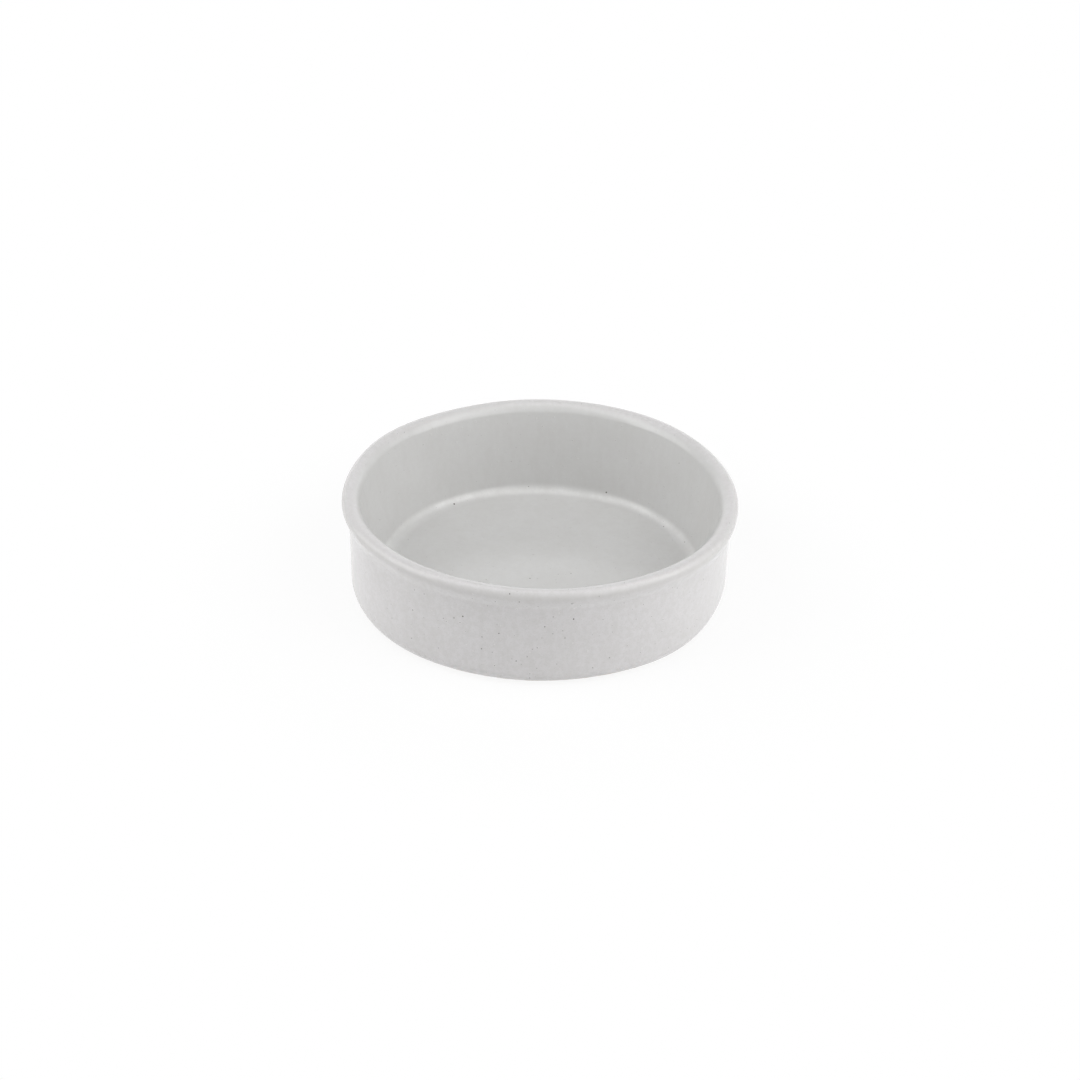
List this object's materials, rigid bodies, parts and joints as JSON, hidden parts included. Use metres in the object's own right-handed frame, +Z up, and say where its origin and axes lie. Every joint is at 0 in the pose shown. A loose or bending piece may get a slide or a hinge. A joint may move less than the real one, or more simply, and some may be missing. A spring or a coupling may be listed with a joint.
{
  "type": "tapas dish",
  "caption": "Round stoneware tapas dish with a rolled lip over an outside collar, tapering wall, coved floor and a low foot ring.",
  "frame": {"origin": "centre of the foot ring, on the surface the dish stands on", "axes": "+Z up, along the axis of revolution, out of the mouth of the dish; +X and +Y lie in the plane of the foot and are alike"},
  "size_m": [0.1456, 0.1456, 0.04],
  "materials": {
    "glaze": "satin off-white glaze with fine dark specks, unglazed foot ring"
  },
  "bodies": {
    "root": {"dish": "glaze"}
  },
  "joints": []
}
